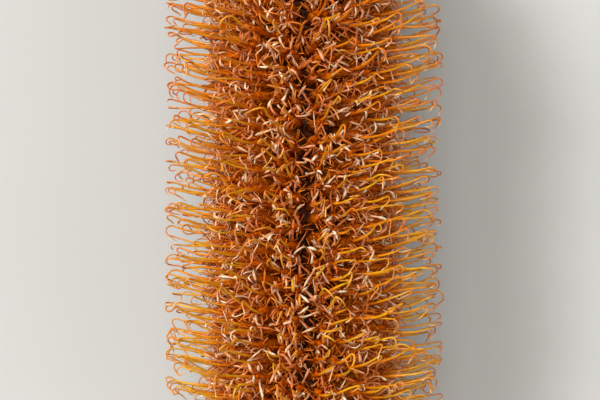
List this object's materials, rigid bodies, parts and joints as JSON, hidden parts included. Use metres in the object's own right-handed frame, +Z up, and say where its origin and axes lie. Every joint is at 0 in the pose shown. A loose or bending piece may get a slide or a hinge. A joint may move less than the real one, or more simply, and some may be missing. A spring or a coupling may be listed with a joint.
{
  "type": "banksia cone",
  "caption": "Picked flower spike lying on its side: brown florets packed in columns round a woody axis, hooked orange styles standing out all over, and a short cut stem.",
  "frame": {"origin": "under the middle of the spike, on the surface that it lies on", "axes": "+Y along the spike towards its tip, +Z up"},
  "size_m": [0.0693, 0.1998, 0.0655],
  "materials": {
    "florets": "matte, felted brown and tan",
    "bark": "rough grey-brown bark, pale at the cut",
    "styles": "smooth and waxy, golden to orange-red",
    "axis": "dark brown felt"
  },
  "bodies": {
    "root": {"flower_head": "florets", "stem": "bark"}
  },
  "joints": []
}
